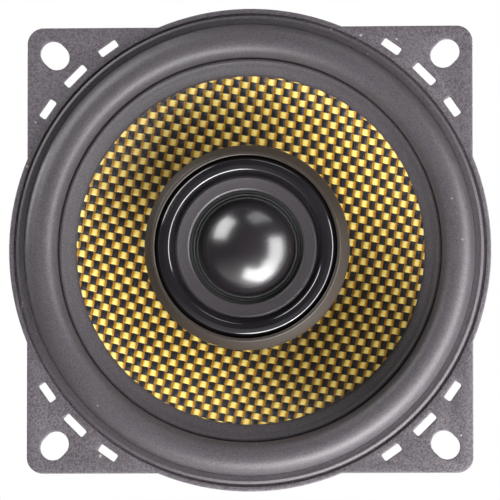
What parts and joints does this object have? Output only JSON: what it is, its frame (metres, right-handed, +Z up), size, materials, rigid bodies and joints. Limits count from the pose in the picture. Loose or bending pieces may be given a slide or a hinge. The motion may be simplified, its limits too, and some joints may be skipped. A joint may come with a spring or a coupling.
{
  "type": "coaxial car speaker",
  "caption": "Round woven-cone car speaker on a square-eared flange, with a dome tweeter pod on its axis, a leg basket, a ring magnet and spade terminals behind.",
  "frame": {"origin": "on the speaker's axis, in the plane of the mounting flange's rear face", "axes": "the speaker faces -Y along its axis, +Z is up and +X is to the right when seen from the front"},
  "size_m": [0.1004, 0.0611, 0.1004],
  "materials": {
    "frame_paint": "fine textured satin powder coat",
    "surround_rubber": "matte rubber",
    "woven_cone": "woven yellow and black yarn under clear resin",
    "former_film": "translucent amber film",
    "copper_winding": "enamelled copper wire",
    "spider_cloth": "phenolic-stiffened woven cloth",
    "plated_steel": "zinc plated, faint turning marks",
    "ferrite": "ground dark ferrite",
    "phenolic_board": "brown phenolic paper board",
    "tinned_brass": "tinned",
    "brass": "satin",
    "tinsel_braid": "braided tinned copper",
    "black_adhesive": "glossy rubber cement",
    "capacitor_sleeve": "shrunk plastic sleeve",
    "hot_glue": "translucent hot-melt glue",
    "red_insulation": "soft PVC insulation",
    "black_insulation": "soft PVC insulation",
    "black_plastic": "moulded plastic",
    "pod_plastic": "matte soft-touch plastic",
    "trim_gloss": "high gloss black",
    "faceplate_satin": "fine satin paint",
    "dome_gloss": "glossy coated dome",
    "suspension_cloth": "coated cloth",
    "magnet_nickel": "nickel plated",
    "felt": "pressed felt"
  },
  "bodies": {
    "frame": {"basket": "frame_paint", "surround": "surround_rubber", "spider": "spider_cloth", "top_plate": "plated_steel", "ring_magnet": "ferrite", "pole_yoke": "plated_steel", "motor_screws": "plated_steel", "terminal_board": "phenolic_board", "terminal_tab_plus": "tinned_brass", "terminal_tab_minus": "tinned_brass", "terminal_eyelets": "brass", "board_rivets": "plated_steel", "tinsel_leads": "tinsel_braid", "crossover_capacitor": "capacitor_sleeve", "capacitor_glue": "hot_glue", "capacitor_lead": "red_insulation", "tweeter_lead_plus": "red_insulation", "tweeter_lead_minus": "black_insulation", "tweeter_post": "plated_steel", "post_sleeve": "black_plastic", "post_washer": "plated_steel", "post_nut": "brass", "pod_housing": "pod_plastic", "trim_ring": "trim_gloss", "faceplate": "faceplate_satin", "dome_suspension": "suspension_cloth", "tweeter_yoke": "plated_steel", "tweeter_magnet": "magnet_nickel", "tweeter_pole_plate": "plated_steel", "dome_felt": "felt"},
    "woofer": {"cone": "woven_cone", "coil_former": "former_film", "voice_coil": "copper_winding", "lead_joints": "black_adhesive"},
    "tweeter": {"tweeter_dome": "dome_gloss", "tweeter_coil": "copper_winding"}
  },
  "joints": [
    {"name": "cone_travel", "type": "slide", "parent": "frame", "child": "woofer", "axis": [0, -1, 0], "range_m": [-0.003, 0.003], "stiffness_N_per_m": 1500, "deforming": ["surround", "spider", "tinsel_leads"]},
    {"name": "dome_travel", "type": "slide", "parent": "frame", "child": "tweeter", "axis": [0, -1, 0], "range_m": [-0.0004, 0.0004], "stiffness_N_per_m": 2000, "deforming": ["dome_suspension"]}
  ]
}
